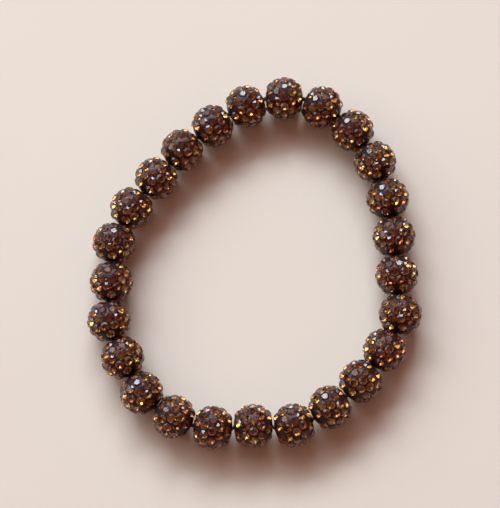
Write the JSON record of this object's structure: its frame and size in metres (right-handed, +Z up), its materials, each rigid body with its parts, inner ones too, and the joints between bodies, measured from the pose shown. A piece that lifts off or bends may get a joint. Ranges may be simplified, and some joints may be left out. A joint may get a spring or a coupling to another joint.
{
  "type": "pave bead stretch bracelet",
  "caption": "Stretch bracelet: a closed loop of round clay beads set all over with small amber-brown cut stones, threaded on hidden elastic.",
  "frame": {"origin": "middle of the loop's box, on the surface that the bracelet lies on", "axes": "+Z up out of the loop, through which the hand goes; +Y along the longer way across the loop, away from the viewer; +X to the viewer's right"},
  "size_m": [0.0619, 0.0706, 0.0081],
  "materials": {
    "cut_stones": "polished foil-backed glass, amber brown",
    "clay": "dark polymer clay, semi-matt",
    "elastic": "black elastic thread, matt"
  },
  "bodies": {
    "root": {"bead_01": "cut_stones", "bead_02": "cut_stones", "bead_03": "cut_stones", "bead_04": "cut_stones", "bead_05": "cut_stones", "bead_06": "cut_stones", "bead_07": "cut_stones", "bead_08": "cut_stones", "bead_09": "cut_stones", "bead_10": "cut_stones", "bead_11": "cut_stones", "bead_12": "cut_stones", "bead_13": "cut_stones", "bead_14": "cut_stones", "bead_15": "cut_stones", "bead_16": "cut_stones", "bead_17": "cut_stones", "bead_18": "cut_stones", "bead_19": "cut_stones", "bead_20": "cut_stones", "bead_21": "cut_stones", "bead_22": "cut_stones", "bead_23": "cut_stones", "bead_24": "cut_stones", "bead_25": "cut_stones", "elastic_thread": "elastic"}
  },
  "joints": []
}
